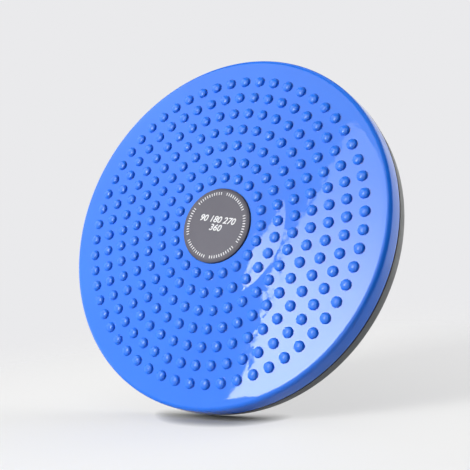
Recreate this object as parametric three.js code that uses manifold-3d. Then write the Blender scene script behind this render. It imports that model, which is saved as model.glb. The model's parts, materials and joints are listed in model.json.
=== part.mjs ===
// Waist twisting disc: two round moulded plates, one turning on the other over a caged ring of
// steel balls, held together by one bolt through a steel sleeve at the centre.
// Millimetres, +Z up. The disc lies flat on its six pads at z = 0 and turns about the Z axis.
import * as THREE from "three";
import { mergeGeometries, mergeVertices } from "three/addons/utils/BufferGeometryUtils.js";
import Module from "manifold-3d";

const wasm = await Module();
wasm.setup();

// Whole disc
const overallDiameter = 250; // at the parting line, where both plates are widest
const partingGap = 1; // height of the dark line between the two plates
const runningGap = 0.3; // between pieces that turn past each other
const seatGap = 0.3; // round a piece that its neighbour locates
const overrun = 1; // how far a cut passes the face that it opens

// Top plate
const topSkirtHeight = 12.85; // lower edge to the face at the shoulder
const topWall = 2.4;
const topDraft = 0.5; // what the side leans in over its height
const shoulderRadius = 3.2;
const coneRadius = 52.3; // inside this the face is a cone
const coneRise = 2.56; // of the face inside that radius, towards the centre
const dishRise = 1.56; // of the face from the shoulder to the cone
const dishCurveShare = 0.46; // part of that rise that its curve makes
const topRadialRibs = 8;
const ribToRaceGap = 1.5; // the top's radial ribs end this far above its race
const undersideBendShare = 0.7; // radius at which the underside's crown bends outside the cone

// Massage bumps on the top plate, in rings that all start on one common row
const bumpDiameter = 7.4;
const bumpHeight = 2;
const bumpRingGap = 4.7; // clear face between one ring and the next
const bumpSideGap = 3.2; // least clear face between neighbours in the first ring
const bumpsAddedPerRing = 6;
const capToFirstRing = 8.2;
const lastRingMargin = 13; // least distance from the last ring to the shoulder
const bumpFlankShares = [0.76, 0.62]; // radius and height of the dome where its flank turns in
const bandGapShare = 0.75; // part of the gap between rings that lies in the rings' own bands

// Centre cap over the bolt head
const capDiameter = 52.8;
const capSeatDepth = 0.8;
const capProud = 1.5;
const capBevelWidth = 2;
const capBevelHeight = 0.5;

// Base plate
const baseRimHeight = 11.4;
const baseDraft = 1.5;
const baseWall = 2.4;
const baseEdgeChamfer = 0.6;
const deckDrop = 0.9; // the deck lies this far below the rim
const raceFloor = 1.5; // what is left of the deck under the race's channel
const baseRingRibs = 2;
const baseRadialRibs = 12;
const ribThickness = 2;
const ribLift = 2; // the ribs end this far above the skirt's lower edge
const baseHubRise = 1;

// Rubber pads
const padCount = 6;
const padDiameter = 20;
const padThickness = 3;
const padProtrusion = 1.5; // below the base's lower edge
const padInset = 22; // pad centre to the disc's edge
const padBossMargin = 1;

// Ball thrust bearing
const ballDiameter = 6.35;
const ballCount = 24;
const ballCircleDiameter = 144;
const ballClearance = 0.35;
const raceThickness = 1.2;
const raceGrooveDepth = 1.2;
const raceWidth = 20;
const grooveShares = [-1, -1 / 3, 1 / 3, 1]; // corners across the groove, from its middle to its edge
const cageThickness = 2.4;
const cageWidth = 12;
const seatRibThickness = 2;

// Centre bolt and what it clamps
const boltDiameter = 8;
const boltClearance = 0.25;
const headAcrossFlats = 13;
const headHeight = 5.3;
const headToCap = 0.6;
const nutHeight = 5.4;
const threadStandOut = 0.8;
const washerDiameter = 24;
const washerThickness = 1.6;
const washerClearance = 0.8; // round the washers in their pockets
const sleeveDiameter = 14;
const hubWall = 3;

// Facets round a circle
const plateSegments = 56;
const ringSegments = 30;
const raceSegments = 36;
const smallSegments = 16;
const padSegments = 12;
const boltSegments = 12;
const bumpSides = 5;
const pocketSides = 6;
const ballSegments = 6;
const ballBands = 4;
const shoulderSteps = 3;

// Radii that follow from the sizes above
const discRadius = overallDiameter / 2;
const faceRadius = discRadius - topDraft - shoulderRadius;
const capRadius = capDiameter / 2;
const firstRingRadius = capRadius + capToFirstRing;
const ringPitch = bumpDiameter + bumpRingGap;
const bandHalfWidth = (bumpDiameter + bumpRingGap * bandGapShare) / 2;
const ringCount = 1 + Math.floor((faceRadius - lastRingMargin - firstRingRadius) / ringPitch);
const firstRingBumps = Math.floor((2 * Math.PI * firstRingRadius) / (bumpDiameter + bumpSideGap));
const ballRadius = ballDiameter / 2;
const ballCircleRadius = ballCircleDiameter / 2;
const grooveRadius = ballRadius + ballClearance;
const bulgeRadius = grooveRadius + raceThickness;
const grooveHalfWidth = Math.sqrt(raceGrooveDepth * (2 * grooveRadius - raceGrooveDepth));
const bulgeHalfWidth = Math.sqrt(raceGrooveDepth * (2 * bulgeRadius - raceGrooveDepth));
const channelHalfWidth = bulgeHalfWidth + seatGap;
const channelDepth = raceGrooveDepth + seatGap;
const boltBore = boltDiameter / 2 + boltClearance;
const sleeveRadius = sleeveDiameter / 2;
const washerRadius = washerDiameter / 2;
const washerPocketRadius = washerRadius + washerClearance;
const hubRadius = washerPocketRadius + hubWall;
const padRadius = padDiameter / 2;
const padCircleRadius = discRadius - padInset;

// Levels above the floor, from the pads up
const baseBottom = padProtrusion;
const rimTop = baseBottom + baseRimHeight;
const deckTop = rimTop - deckDrop;
const deckThickness = channelDepth + raceFloor;
const deckBottom = deckTop - deckThickness;
const baseHubTop = deckTop + baseHubRise;
const lowerRaceTop = deckTop + raceThickness;
const ballLevel = lowerRaceTop - raceGrooveDepth + grooveRadius;
const upperRaceBottom = 2 * ballLevel - lowerRaceTop;
const upperRaceTop = upperRaceBottom + raceThickness;
const topBottom = rimTop + partingGap;
const faceEdgeLevel = topBottom + topSkirtHeight;
const topUnderside = faceEdgeLevel - topWall;
const capSeatLevel = crownLevel(capRadius) - capSeatDepth;
const washerLevel = capSeatLevel - headToCap - headHeight - washerThickness;

// Height of the crowned face at a distance from the axis: a shallow dish with a cone in its middle
function crownLevel(radius) {
  const share = Math.min((faceRadius - radius) / (faceRadius - coneRadius), 1);
  const dish = dishRise * share * (1 - dishCurveShare + dishCurveShare * share);
  const cone = coneRise * Math.max(1 - radius / coneRadius, 0);
  return faceEdgeLevel + dish + cone;
}

// A material as the photograph shows it, or as such a hidden piece usually is
function finish(color, roughness, metalness) {
  return new THREE.MeshStandardMaterial({ color, roughness, metalness });
}

const glossBlue = () => finish(0x2f6ff2, 0.12, 0);
const satinGrey = () => finish(0x6f7274, 0.45, 0);
const capGrey = () => finish(0x6d6b73, 0.4, 0.1);
const blackRubber = () => finish(0x1d1d1f, 0.85, 0);
const naturalNylon = () => finish(0xe4dfd0, 0.5, 0);
const zincSteel = () => finish(0xb4b8bc, 0.35, 1);
const polishedSteel = () => finish(0xd4d6d9, 0.12, 1);

// A closed geometry as a solid that can be joined and cut
function solidFrom(geometry) {
  const bare = new THREE.BufferGeometry();
  bare.setAttribute("position", geometry.getAttribute("position"));
  bare.setIndex(geometry.getIndex());
  const merged = mergeVertices(bare);
  const triVerts = new Uint32Array(merged.index.array);
  const vertProperties = merged.getAttribute("position").array;
  return new wasm.Manifold(new wasm.Mesh({ numProp: 3, vertProperties, triVerts }));
}

// A solid as a geometry with flat faces
function geometryFrom(solid) {
  const mesh = solid.getMesh();
  const geometry = new THREE.BufferGeometry();
  geometry.setAttribute("position", new THREE.BufferAttribute(mesh.vertProperties, mesh.numProp));
  geometry.setIndex(new THREE.BufferAttribute(mesh.triVerts, 1));
  const flat = geometry.toNonIndexed();
  flat.computeVertexNormals();
  return flat;
}

// An outline of [radius, height] points, counter-clockwise, turned round the Z axis
function turned(outline, segments) {
  const closed = outline.concat([outline[0]]);
  const points = closed.map(([radius, height]) => new THREE.Vector2(radius, height));
  return new THREE.LatheGeometry(points, segments).rotateX(Math.PI / 2);
}

// A flat ring, or a disc where the inner radius is zero
function ring(inner, outer, bottom, top, segments) {
  const outline = [
    [inner, bottom],
    [outer, bottom],
    [outer, top],
    [inner, top],
  ];
  return turned(outline, segments);
}

// The radius of a faceted hole that clears a true circle
function clearOf(radius, segments) {
  return radius / Math.cos(Math.PI / segments);
}

// A hexagonal prism, standing on the given level
function hexagon(acrossFlats, bottom, height) {
  const corner = clearOf(acrossFlats / 2, 6);
  const prism = new THREE.CylinderGeometry(corner, corner, height, 6);
  return prism.rotateX(Math.PI / 2).translate(0, 0, bottom + height / 2);
}

// Equally spaced copies of a geometry about the Z axis, as one geometry
function roundTheAxis(geometry, count) {
  const copies = [];
  for (let i = 0; i < count; i++) {
    copies.push(geometry.clone().rotateZ((i / count) * 2 * Math.PI));
  }
  return mergeGeometries(copies);
}

// Upright ribs that run outwards between two radii, up to a level that depends on the radius
function radialRibs(inner, outer, bottom, topAt, count) {
  const outline = new THREE.Shape()
    .moveTo(inner, bottom)
    .lineTo(outer, bottom)
    .lineTo(outer, topAt(outer))
    .lineTo(inner, topAt(inner));
  const rib = new THREE.ExtrudeGeometry(outline, { depth: ribThickness, bevelEnabled: false });
  rib.translate(0, 0, -ribThickness / 2).rotateX(Math.PI / 2);
  return roundTheAxis(rib, count);
}

// A circle of points, each with its share of the full turn
function circle(radius, height, count, turn = 0) {
  const points = [];
  for (let i = 0; i < count; i++) {
    const share = (i + turn) / count;
    const angle = share * 2 * Math.PI;
    points.push({ share, at: [radius * Math.cos(angle), radius * Math.sin(angle), height] });
  }
  return points;
}

// Triangles between two circles of points, whose counts may differ
function strip(from, to) {
  const triangles = [];
  const stepFrom = 1 / from.length;
  const stepTo = 1 / to.length;
  let i = 0;
  let j = 0;
  while (i < from.length || j < to.length) {
    const a = from[i % from.length].at;
    const b = to[j % to.length].at;
    const nextFrom = from[0].share + (i + 1) * stepFrom;
    const nextTo = to[0].share + (j + 1) * stepTo;
    if (j === to.length || (i < from.length && nextFrom < nextTo)) {
      i += 1;
      triangles.push([a, b, from[i % from.length].at]);
    } else {
      j += 1;
      triangles.push([a, b, to[j % to.length].at]);
    }
  }
  return triangles;
}

// Triangles from a point on the axis to a circle of points
function fan(height, to) {
  return to.map((point, i) => [[0, 0, height], point.at, to[(i + 1) % to.length].at]);
}

// The same triangles facing the other way
function reversed(triangles) {
  return triangles.map(([a, b, c]) => [a, c, b]);
}

// Points round a bump at a share of its radius, from the one that looks outwards
function roundBump(radius, turn, sizeShare) {
  const reach = (bumpDiameter / 2) * sizeShare;
  const points = [];
  for (let i = 0; i < bumpSides; i++) {
    const angle = turn + (i / bumpSides) * 2 * Math.PI;
    points.push([
      radius * Math.cos(turn) + reach * Math.cos(angle),
      radius * Math.sin(turn) + reach * Math.sin(angle),
    ]);
  }
  return points;
}

// The dome of one bump, from the foot that it stands on
function bumpDome(radius, turn, foot) {
  const [sizeShare, heightShare] = bumpFlankShares;
  const level = crownLevel(radius);
  const flankLevel = level + bumpHeight * heightShare;
  const flank = roundBump(radius, turn, sizeShare).map(([x, y]) => [x, y, flankLevel]);
  const top = [radius * Math.cos(turn), radius * Math.sin(turn), level + bumpHeight];
  const triangles = [];
  for (let i = 0; i < bumpSides; i++) {
    const next = (i + 1) % bumpSides;
    triangles.push([flank[i], foot[i], foot[next]]);
    triangles.push([flank[i], foot[next], flank[next]]);
    triangles.push([top, flank[i], flank[next]]);
  }
  return triangles;
}

// How the face of a cell is cut into triangles round the foot of its bump
function cutRound(corners, foot) {
  const flat = (points) => points.map(([x, y]) => new THREE.Vector2(x, y));
  return THREE.ShapeUtils.triangulateShape(flat(corners), [flat(foot)]);
}

// A ring of bumps on its own band of the crowned face, with the band's two edges
function bumpBand(k) {
  const count = firstRingBumps + k * bumpsAddedPerRing;
  const radius = firstRingRadius + k * ringPitch;
  const inner = circle(radius - bandHalfWidth, crownLevel(radius - bandHalfWidth), count, -0.5);
  const outer = circle(radius + bandHalfWidth, crownLevel(radius + bandHalfWidth), count, -0.5);
  const triangles = [];
  let cut = null;
  for (let i = 0; i < count; i++) {
    const next = (i + 1) % count;
    const turn = (i / count) * 2 * Math.PI;
    const corners = [inner[i].at, outer[i].at, outer[next].at, inner[next].at];
    const foot = roundBump(radius, turn, 1).map(([x, y]) => [x, y, crownLevel(Math.hypot(x, y))]);
    const points = corners.concat(foot);
    cut ??= cutRound(corners, foot);
    triangles.push(...cut.map((indices) => indices.map((index) => points[index])));
    triangles.push(...bumpDome(radius, turn, foot));
  }
  return { inner, outer, triangles };
}

// The shell of the top plate: crowned face with its rings of bumps, rounded shoulder and skirt
function topShell() {
  const triangles = [];
  let edge = null;
  for (let k = 0; k < ringCount; k++) {
    const band = bumpBand(k);
    triangles.push(...(edge ? strip(edge, band.inner) : fan(crownLevel(0), band.inner)));
    triangles.push(...band.triangles);
    edge = band.outer;
  }
  for (const [radius, height] of topSideOutline()) {
    const next = circle(radius, height, plateSegments);
    triangles.push(...strip(edge, next));
    edge = next;
  }
  for (const radius of [faceRadius * undersideBendShare, coneRadius]) {
    const next = circle(radius, crownLevel(radius) - topWall, ringSegments);
    triangles.push(...strip(edge, next));
    edge = next;
  }
  triangles.push(...reversed(fan(crownLevel(0) - topWall, edge)));
  const geometry = new THREE.BufferGeometry();
  return geometry.setAttribute("position", new THREE.Float32BufferAttribute(triangles.flat(2), 3));
}

// The top plate's outline from the edge of the face over the shoulder and round the skirt
function topSideOutline() {
  const outline = [];
  for (let i = shoulderSteps; i >= 0; i--) {
    const angle = (i / shoulderSteps) * (Math.PI / 2);
    outline.push([
      faceRadius + shoulderRadius * Math.cos(angle),
      faceEdgeLevel - shoulderRadius * (1 - Math.sin(angle)),
    ]);
  }
  outline.push([discRadius, topBottom]);
  outline.push([discRadius - topWall, topBottom]);
  outline.push([discRadius - topWall - topDraft, topUnderside]);
  return outline;
}

// The middle of the top plate's wall, where its ribs end
function midWall(radius) {
  return crownLevel(radius) - topWall / 2;
}

// One of the two ring ribs that carry the upper race, with its bulge between them
function raceSeat(side) {
  const near = ballCircleRadius + side * channelHalfWidth;
  const far = near + side * seatRibThickness;
  const inner = Math.min(near, far);
  const outer = Math.max(near, far);
  return ring(inner, outer, upperRaceTop, midWall(outer), raceSegments);
}

function topPlate() {
  const ribBottom = upperRaceTop + ribToRaceGap;
  const seatEdge = channelHalfWidth + seatRibThickness / 2;
  const skirtInside = discRadius - topWall / 2 - topDraft;
  const hubBottom = baseHubTop + runningGap;
  const pocketFloor = washerLevel - runningGap;
  const capRecessRadius = clearOf(capRadius + seatGap, ringSegments);
  const capTop = crownLevel(0) + bumpHeight;
  const innerRibs = [hubRadius - hubWall / 2, ballCircleRadius - seatEdge, ribBottom, midWall];
  const outerRibs = [ballCircleRadius + seatEdge, skirtInside, ribBottom, midWall];
  const solid = solidFrom(topShell())
    .add(solidFrom(ring(0, hubRadius, hubBottom, midWall(hubRadius), smallSegments)))
    .add(solidFrom(raceSeat(-1)))
    .add(solidFrom(raceSeat(1)))
    .add(solidFrom(radialRibs(...innerRibs, topRadialRibs)))
    .add(solidFrom(radialRibs(...outerRibs, topRadialRibs)))
    .subtract(solidFrom(ring(0, capRecessRadius, capSeatLevel, capTop, ringSegments)))
    .subtract(solidFrom(ring(0, washerPocketRadius, pocketFloor, capTop, smallSegments)))
    .subtract(
      solidFrom(
        ring(
          0,
          clearOf(sleeveRadius + runningGap, smallSegments),
          hubBottom - overrun,
          capTop,
          smallSegments,
        ),
      ),
    );
  return geometryFrom(solid);
}

// The round cap that closes the bolt's pocket, with a bevelled edge
function centreCap() {
  const top = crownLevel(capRadius) + capProud;
  const outline = [
    [0, capSeatLevel],
    [capRadius, capSeatLevel],
    [capRadius, top - capBevelHeight],
    [capRadius - capBevelWidth, top],
    [0, top],
  ];
  return turned(outline, ringSegments);
}

// The shell of the base: skirt, rim and deck
function baseShell() {
  const bottomRadius = discRadius - baseDraft;
  const outline = [
    [0, deckBottom],
    [discRadius - baseWall, deckBottom],
    [bottomRadius - baseWall, baseBottom],
    [bottomRadius - baseEdgeChamfer, baseBottom],
    [bottomRadius, baseBottom + baseEdgeChamfer],
    [discRadius, rimTop],
    [discRadius - baseWall, rimTop],
    [discRadius - baseWall, deckTop],
    [0, deckTop],
  ];
  return turned(outline, plateSegments);
}

function basePlate() {
  const root = deckBottom + raceFloor / 2;
  const ribBottom = baseBottom + ribLift;
  const skirtInside = discRadius - baseWall / 2 - baseDraft;
  const hubOuter = washerPocketRadius + ribThickness;
  const radialSpan = [hubOuter - ribThickness / 2, skirtInside];
  const bossRadius = padRadius + padBossMargin;
  const boss = ring(0, bossRadius, padThickness, root, padSegments).translate(padCircleRadius, 0, 0);
  const channelInner = ballCircleRadius - channelHalfWidth;
  const channelOuter = ballCircleRadius + channelHalfWidth;
  const channelFloor = deckTop - channelDepth;
  const channel = ring(channelInner, channelOuter, channelFloor, deckTop + overrun, raceSegments);
  const boltHole = ring(
    0,
    clearOf(boltBore, boltSegments),
    deckBottom - overrun,
    baseHubTop + overrun,
    boltSegments,
  );
  let solid = solidFrom(baseShell())
    .add(solidFrom(ring(0, hubRadius, root, baseHubTop, smallSegments)))
    .add(solidFrom(ring(washerPocketRadius, hubOuter, ribBottom, root, smallSegments)))
    .add(solidFrom(radialRibs(...radialSpan, ribBottom, () => root, baseRadialRibs)))
    .add(solidFrom(roundTheAxis(boss, padCount)));
  for (let i = 1; i <= baseRingRibs; i++) {
    const radius = hubOuter + (i / (baseRingRibs + 1)) * (skirtInside - hubOuter);
    const rib = ring(radius, radius + ribThickness, ribBottom, root, ringSegments);
    solid = solid.add(solidFrom(rib));
  }
  return geometryFrom(solid.subtract(solidFrom(channel)).subtract(solidFrom(boltHole)));
}

// A pressed steel race, its flanges from z = 0 up and its groove sunk below them
function race() {
  const inner = ballCircleRadius - raceWidth / 2;
  const outer = ballCircleRadius + raceWidth / 2;
  const centre = raceThickness - raceGrooveDepth + grooveRadius;
  const outline = [[inner, 0]];
  outline.push(...grooveArc(bulgeRadius, bulgeHalfWidth, centre, 1));
  outline.push([outer, 0]);
  outline.push([outer, raceThickness]);
  outline.push(...grooveArc(grooveRadius, grooveHalfWidth, centre, -1));
  outline.push([inner, raceThickness]);
  return turned(outline, raceSegments);
}

// Points across the groove, inwards or outwards, on an arc about the balls' centre
function grooveArc(radius, halfWidth, centre, direction) {
  const halfAngle = Math.asin(halfWidth / radius);
  const points = [];
  for (const share of grooveShares) {
    const angle = direction * share * halfAngle;
    points.push([
      ballCircleRadius + radius * Math.sin(angle),
      centre - radius * Math.cos(angle),
    ]);
  }
  return points;
}

// A flat ring with a round pocket for each ball
function ballCage() {
  const half = cageThickness / 2;
  const inner = ballCircleRadius - cageWidth / 2;
  const outer = ballCircleRadius + cageWidth / 2;
  const pocketRadius = clearOf(ballRadius + runningGap, pocketSides);
  const pocket = ring(0, pocketRadius, -half - overrun, half + overrun, pocketSides);
  pocket.translate(ballCircleRadius, 0, 0);
  const body = ring(inner, outer, -half, half, ballCount);
  body.rotateZ(Math.PI / ballCount);
  return geometryFrom(solidFrom(body).subtract(solidFrom(roundTheAxis(pocket, ballCount))));
}

function ball() {
  return new THREE.SphereGeometry(ballRadius, ballSegments, ballBands).rotateX(Math.PI / 2);
}

// The bolt hangs by its head: z = 0 is under the head
function centreBolt(length) {
  const head = hexagon(headAcrossFlats, 0, headHeight);
  const shank = ring(0, boltDiameter / 2, -length, headHeight / 2, boltSegments);
  return geometryFrom(solidFrom(head).add(solidFrom(shank)));
}

function lockNut() {
  const body = hexagon(headAcrossFlats, 0, nutHeight);
  const bore = ring(0, clearOf(boltBore, boltSegments), -overrun, nutHeight + overrun, boltSegments);
  return geometryFrom(solidFrom(body).subtract(solidFrom(bore)));
}

function washer() {
  return ring(clearOf(boltBore, smallSegments), washerRadius, 0, washerThickness, smallSegments);
}

function sleeve(length) {
  return ring(clearOf(boltBore, smallSegments), sleeveRadius, 0, length, smallSegments);
}

// A round rubber pad
function pad() {
  return ring(0, padRadius, 0, padThickness, padSegments);
}

// A named piece at a level above its group's floor
function piece(name, geometry, material, level = 0) {
  const mesh = new THREE.Mesh(geometry, material);
  mesh.name = name;
  mesh.position.z = level;
  return mesh;
}

const twoDigits = (number) => String(number).padStart(2, "0");

// What stands still: base, lower race, sleeve, bolt, nut, washers and pads
function baseGroup() {
  const group = new THREE.Group();
  const underHead = washerLevel + washerThickness;
  const lowerWasherLevel = deckBottom - washerThickness;
  const nutLevel = lowerWasherLevel - nutHeight;
  const boltLength = underHead - nutLevel + threadStandOut;
  group.add(piece("base_plate", basePlate(), satinGrey()));
  group.add(piece("lower_race", race(), zincSteel(), deckTop));
  group.add(piece("pivot_sleeve", sleeve(washerLevel - baseHubTop), zincSteel(), baseHubTop));
  group.add(piece("upper_washer", washer(), zincSteel(), washerLevel));
  group.add(piece("centre_bolt", centreBolt(boltLength), zincSteel(), underHead));
  group.add(piece("lower_washer", washer(), zincSteel(), lowerWasherLevel));
  group.add(piece("lock_nut", lockNut(), zincSteel(), nutLevel));
  for (let i = 0; i < padCount; i++) {
    const mesh = piece("rubber_pad_" + (i + 1), pad(), blackRubber());
    const angle = (i / padCount) * 2 * Math.PI;
    mesh.position.set(padCircleRadius * Math.cos(angle), padCircleRadius * Math.sin(angle), 0);
    group.add(mesh);
  }
  return group;
}

// What the user stands on: top plate, its cap and its race, which lies upside down
function topGroup() {
  const group = new THREE.Group();
  const upperRace = piece("upper_race", race(), zincSteel(), upperRaceTop);
  upperRace.rotation.x = Math.PI;
  group.add(piece("top_plate", topPlate(), glossBlue()));
  group.add(piece("centre_cap", centreCap(), capGrey()));
  group.add(upperRace);
  return group;
}

// What rolls between them: the cage and its balls, at half the top's speed
function bearingGroup() {
  const group = new THREE.Group();
  group.position.z = ballLevel;
  group.add(piece("ball_cage", ballCage(), naturalNylon()));
  for (let i = 0; i < ballCount; i++) {
    const mesh = piece("ball_" + twoDigits(i + 1), ball(), polishedSteel());
    const angle = (i / ballCount) * 2 * Math.PI;
    mesh.rotation.z = angle;
    mesh.position.set(ballCircleRadius * Math.cos(angle), ballCircleRadius * Math.sin(angle), 0);
    group.add(mesh);
  }
  return group;
}

const disc = new THREE.Group();
disc.name = "waist_twisting_disc";
disc.add(baseGroup());
disc.add(bearingGroup());
disc.add(topGroup());

export default disc;
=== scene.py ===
"""Waist twisting disc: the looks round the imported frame. Sizes are millimetres, objects metres."""

import json
import math

import bmesh
import bpy
from mathutils import Matrix, Vector

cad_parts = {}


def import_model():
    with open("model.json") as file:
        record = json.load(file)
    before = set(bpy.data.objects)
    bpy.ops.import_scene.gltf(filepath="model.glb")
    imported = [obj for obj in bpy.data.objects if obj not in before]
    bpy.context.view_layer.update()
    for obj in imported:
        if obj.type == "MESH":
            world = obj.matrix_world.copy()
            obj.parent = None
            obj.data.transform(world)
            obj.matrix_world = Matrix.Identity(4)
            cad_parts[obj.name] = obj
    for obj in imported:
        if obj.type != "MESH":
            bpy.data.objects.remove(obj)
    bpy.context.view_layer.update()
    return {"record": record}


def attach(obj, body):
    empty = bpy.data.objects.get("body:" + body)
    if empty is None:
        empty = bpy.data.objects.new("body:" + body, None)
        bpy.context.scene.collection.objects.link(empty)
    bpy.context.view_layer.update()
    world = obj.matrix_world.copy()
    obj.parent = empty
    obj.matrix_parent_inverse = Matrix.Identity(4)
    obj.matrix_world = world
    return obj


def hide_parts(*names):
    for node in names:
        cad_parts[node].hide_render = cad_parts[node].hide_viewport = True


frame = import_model()

MM = 0.001
WELD = 5e-6  # points closer than this, in metres, become one
SHARP_ANGLE = math.radians(35)

# Whole disc
DISC_RADIUS = 125.0
PARTING_GAP = 1.0
RUNNING_GAP = 0.3
SEAT_GAP = 0.3

# Top plate
TOP_SKIRT_HEIGHT = 12.85
TOP_WALL = 2.4
TOP_DRAFT = 0.5
SHOULDER_RADIUS = 3.2
SHOULDER_STEPS = 10
RECESS_LIP = 0.5  # width of the plain lip of the face round the cap's recess
CONE_RADIUS = 52.3
CONE_RISE = 2.56
DISH_RISE = 1.56
DISH_CURVE_SHARE = 0.46
TOP_RIBS = 8
TOP_RIB_DRAFT = 0.2
TOP_RIB_STEPS = 6
RIB_TO_RACE_GAP = 1.5

# Massage bumps
BUMP_RADIUS = 3.7
BUMP_HEIGHT = 2.0
BUMP_RING_GAP = 4.7
FIRST_RING_BUMPS = 20
BUMPS_ADDED_PER_RING = 6
RING_COUNT = 7
FIRST_RING_RADIUS = 34.6
BAND_GAP_SHARE = 0.75
CREASE_RING = 1  # the cone of the face ends at the outer side of this ring, counted from 0
BORDER_STEPS = 3  # points on each side of a bump's cell
FIRST_CORNER = -0.375  # share of a turn to a cell's first corner
# Radius and height of the rings from the face up a bump: border, foot, fillet, flank, crown
BUMP_PROFILE = [(4.05, 0.0), (3.80, 0.0), (3.54, 0.84), (3.06, 1.40), (2.00, 1.79)]

# Centre cap
CAP_RADIUS = 26.4
CAP_SEAT_DEPTH = 0.8
CAP_PROUD = 1.5
CAP_BEVEL_WIDTH = 2.0
CAP_BEVEL_HEIGHT = 0.5

# Base plate
BASE_RIM_HEIGHT = 11.4
BASE_DRAFT = 1.5
BASE_WALL = 2.4
DECK_DROP = 0.9
RACE_FLOOR = 1.5
BASE_RING_RIBS = 2
BASE_RIBS = 12
RIB_THICKNESS = 2.0
RIB_LIFT = 2.0
BASE_RIB_DRAFT = 0.25
BASE_HUB_RISE = 1.0

# Rubber pads
PAD_COUNT = 6
PAD_RADIUS = 10.0
PAD_THICKNESS = 3.0
PAD_PROTRUSION = 1.5
PAD_INSET = 22.0
PAD_BOSS_MARGIN = 1.0
PAD_GROOVE_DEPTH = 0.5
# Radii of each ring groove: its edges, then the edges of its floor
PAD_GROOVES = [(2.6, 4.1, 2.9, 3.8), (6.0, 7.5, 6.3, 7.2)]

# Bearing
BALL_RADIUS = 3.175
BALL_COUNT = 24
BALL_CIRCLE = 72.0
BALL_CLEARANCE = 0.35
RACE_THICKNESS = 1.2
RACE_GROOVE_DEPTH = 1.2
RACE_WIDTH = 20.0
RACE_CHAMFER = 0.25
CAGE_THICKNESS = 2.4
CAGE_WIDTH = 12.0
CAGE_CHAMFER = 0.25
CAGE_STEPS = 6  # points on each side of a cell
SEAT_RIB = 2.0

# Bolt and what it clamps
BOLT_RADIUS = 4.0
BOLT_CLEARANCE = 0.25
THREAD_PITCH = 1.25
THREAD_DEPTH = 0.6
THREAD_LENGTH = 14
THREAD_STEPS = 4  # rows of points in one turn of the thread
END_CHAMFER = 0.4
HEAD_ACROSS_FLATS = 13.0
HEAD_DISC_SHARE = 0.97
HEAD_CHAMFER = math.radians(28)
HEAD_HEIGHT = 5.3
HEAD_TO_CAP = 0.6
NUT_HEIGHT = 5.4
THREAD_STAND_OUT = 0.8
WASHER_RADIUS = 12.0
WASHER_THICKNESS = 1.6
WASHER_CLEARANCE = 0.8
SLEEVE_RADIUS = 7.0
HUB_WALL = 3.0

# Segments round a circle
PLATE_SEGMENTS = 192
RACE_SEGMENTS = 144
SMALL_SEGMENTS = 64
BOLT_SEGMENTS = 96
BALL_SEGMENTS, BALL_RINGS = 24, 14
ARC_STEPS = 3  # parts of each rounded edge
GROOVE_STEPS = 12

# Sizes that follow
FACE_RADIUS = DISC_RADIUS - TOP_DRAFT - SHOULDER_RADIUS
RING_PITCH = 2 * BUMP_RADIUS + BUMP_RING_GAP
BAND_HALF_WIDTH = BUMP_RADIUS + BUMP_RING_GAP * BAND_GAP_SHARE / 2
GROOVE_RADIUS = BALL_RADIUS + BALL_CLEARANCE
BULGE_RADIUS = GROOVE_RADIUS + RACE_THICKNESS
GROOVE_HALF_WIDTH = math.sqrt(RACE_GROOVE_DEPTH * (2 * GROOVE_RADIUS - RACE_GROOVE_DEPTH))
BULGE_HALF_WIDTH = math.sqrt(RACE_GROOVE_DEPTH * (2 * BULGE_RADIUS - RACE_GROOVE_DEPTH))
CHANNEL_HALF_WIDTH = BULGE_HALF_WIDTH + SEAT_GAP
CHANNEL_DEPTH = RACE_GROOVE_DEPTH + SEAT_GAP
BOLT_BORE = BOLT_RADIUS + BOLT_CLEARANCE
WASHER_POCKET = WASHER_RADIUS + WASHER_CLEARANCE
HUB_RADIUS = WASHER_POCKET + HUB_WALL
PAD_CIRCLE = DISC_RADIUS - PAD_INSET
BASE_COLLAR = WASHER_POCKET + RIB_THICKNESS
SKIRT_MIDDLE = DISC_RADIUS - BASE_WALL / 2 - BASE_DRAFT

# Levels, from the pads up
BASE_BOTTOM = PAD_PROTRUSION
BASE_RIB_BOTTOM = BASE_BOTTOM + RIB_LIFT
RIM_TOP = BASE_BOTTOM + BASE_RIM_HEIGHT
DECK_TOP = RIM_TOP - DECK_DROP
DECK_BOTTOM = DECK_TOP - CHANNEL_DEPTH - RACE_FLOOR
NUT_TOP = DECK_BOTTOM - WASHER_THICKNESS
BASE_HUB_TOP = DECK_TOP + BASE_HUB_RISE
LOWER_RACE_TOP = DECK_TOP + RACE_THICKNESS
BALL_LEVEL = LOWER_RACE_TOP - RACE_GROOVE_DEPTH + GROOVE_RADIUS
UPPER_RACE_TOP = 2 * BALL_LEVEL - LOWER_RACE_TOP + RACE_THICKNESS
TOP_BOTTOM = RIM_TOP + PARTING_GAP
FACE_EDGE_LEVEL = TOP_BOTTOM + TOP_SKIRT_HEIGHT


def crown_level(radius):
    """Height of the crowned face: a shallow dish with a cone in its middle."""
    share = min((FACE_RADIUS - radius) / (FACE_RADIUS - CONE_RADIUS), 1)
    dish = DISH_RISE * share * (1 - DISH_CURVE_SHARE + DISH_CURVE_SHARE * share)
    return FACE_EDGE_LEVEL + dish + CONE_RISE * max(1 - radius / CONE_RADIUS, 0)


CAP_SEAT_LEVEL = crown_level(CAP_RADIUS) - CAP_SEAT_DEPTH
CAP_TOP_LEVEL = crown_level(CAP_RADIUS) + CAP_PROUD
WASHER_LEVEL = CAP_SEAT_LEVEL - HEAD_TO_CAP - HEAD_HEIGHT - WASHER_THICKNESS


# Shapes

def polar(radius, angle, height):
    """The point at a radius and an angle from the axis."""
    return (radius * math.cos(angle), radius * math.sin(angle), height)


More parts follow.
